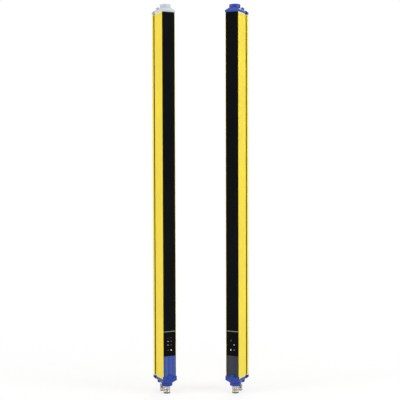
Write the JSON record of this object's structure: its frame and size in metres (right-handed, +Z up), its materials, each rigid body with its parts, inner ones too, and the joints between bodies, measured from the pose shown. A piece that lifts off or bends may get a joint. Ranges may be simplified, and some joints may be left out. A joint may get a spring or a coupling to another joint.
{
  "type": "safety light curtain",
  "caption": "Sender and receiver bars of a safety light curtain: yellow slotted profiles with black front windows, blue end caps and round connectors below.",
  "frame": {"origin": "middle of the pair's footprint at the level of the lowest connector end", "axes": "+Z up along the bars, +X from the receiver to the sender, the fronts face -Y"},
  "size_m": [0.2796, 0.0852, 1.1082],
  "materials": {
    "yellow_coat": "yellow powder coat on aluminium",
    "infrared_pane": "near-black glossy filter pane",
    "display_pane": "near-black glossy pane",
    "divider": "pale grey strip",
    "plate_blue": "blue plate, satin",
    "plate_dark": "dark grey plate, satin",
    "cap_blue": "blue moulded plastic",
    "cap_translucent": "translucent white moulded plastic",
    "gasket": "pale flat gasket",
    "seal": "black rubber",
    "steel": "stainless screw",
    "nickel": "nickel-plated brass",
    "brass": "plain brass",
    "gold": "gold-plated contact",
    "insert_black": "black contact carrier",
    "board": "green circuit board",
    "optics_black": "black moulded carrier",
    "lens": "clear moulded lens",
    "diode": "dark infrared diode",
    "led": "small LED",
    "clear": "clear light guide"
  },
  "bodies": {
    "root": {"receiver_bottom_cap": "cap_blue", "receiver_bottom_cap_screws": "steel", "receiver_bottom_gasket": "gasket", "receiver_connector_board": "board", "receiver_control_board": "board", "receiver_diode_board": "board", "receiver_display_board": "board", "receiver_display_light_guides": "clear", "receiver_display_window": "display_pane", "receiver_extension_connector_contacts": "gold", "receiver_extension_connector_insert": "insert_black", "receiver_extension_connector_shell": "nickel", "receiver_front_window": "infrared_pane", "receiver_housing_profile": "yellow_coat", "receiver_indicator_leds": "led", "receiver_lamp_board": "board", "receiver_lamp_leds": "led", "receiver_lens_strips": "lens", "receiver_name_plate": "plate_blue", "receiver_optics_modules": "optics_black", "receiver_photodiodes": "diode", "receiver_system_connector_insert": "insert_black", "receiver_system_connector_nut": "brass", "receiver_system_connector_pins": "gold", "receiver_system_connector_seal": "seal", "receiver_system_connector_shell": "nickel", "receiver_top_cap": "cap_translucent", "receiver_top_cap_screws": "steel", "receiver_top_gasket": "gasket", "receiver_window_divider": "divider", "receiver_window_seals": "seal", "sender_bottom_cap": "cap_blue", "sender_bottom_cap_screws": "steel", "sender_bottom_gasket": "gasket", "sender_connector_board": "board", "sender_control_board": "board", "sender_diode_board": "board", "sender_display_board": "board", "sender_display_light_guides": "clear", "sender_display_window": "display_pane", "sender_emitter_diodes": "diode", "sender_extension_connector_contacts": "gold", "sender_extension_connector_insert": "insert_black", "sender_extension_connector_shell": "nickel", "sender_front_window": "infrared_pane", "sender_housing_profile": "yellow_coat", "sender_indicator_leds": "led", "sender_lens_strips": "lens", "sender_name_plate": "plate_dark", "sender_optics_modules": "optics_black", "sender_system_connector_insert": "insert_black", "sender_system_connector_nut": "brass", "sender_system_connector_pins": "gold", "sender_system_connector_seal": "seal", "sender_system_connector_shell": "nickel", "sender_top_cap": "cap_blue", "sender_top_cap_screws": "steel", "sender_top_gasket": "gasket", "sender_window_divider": "divider", "sender_window_seals": "seal"}
  },
  "joints": []
}
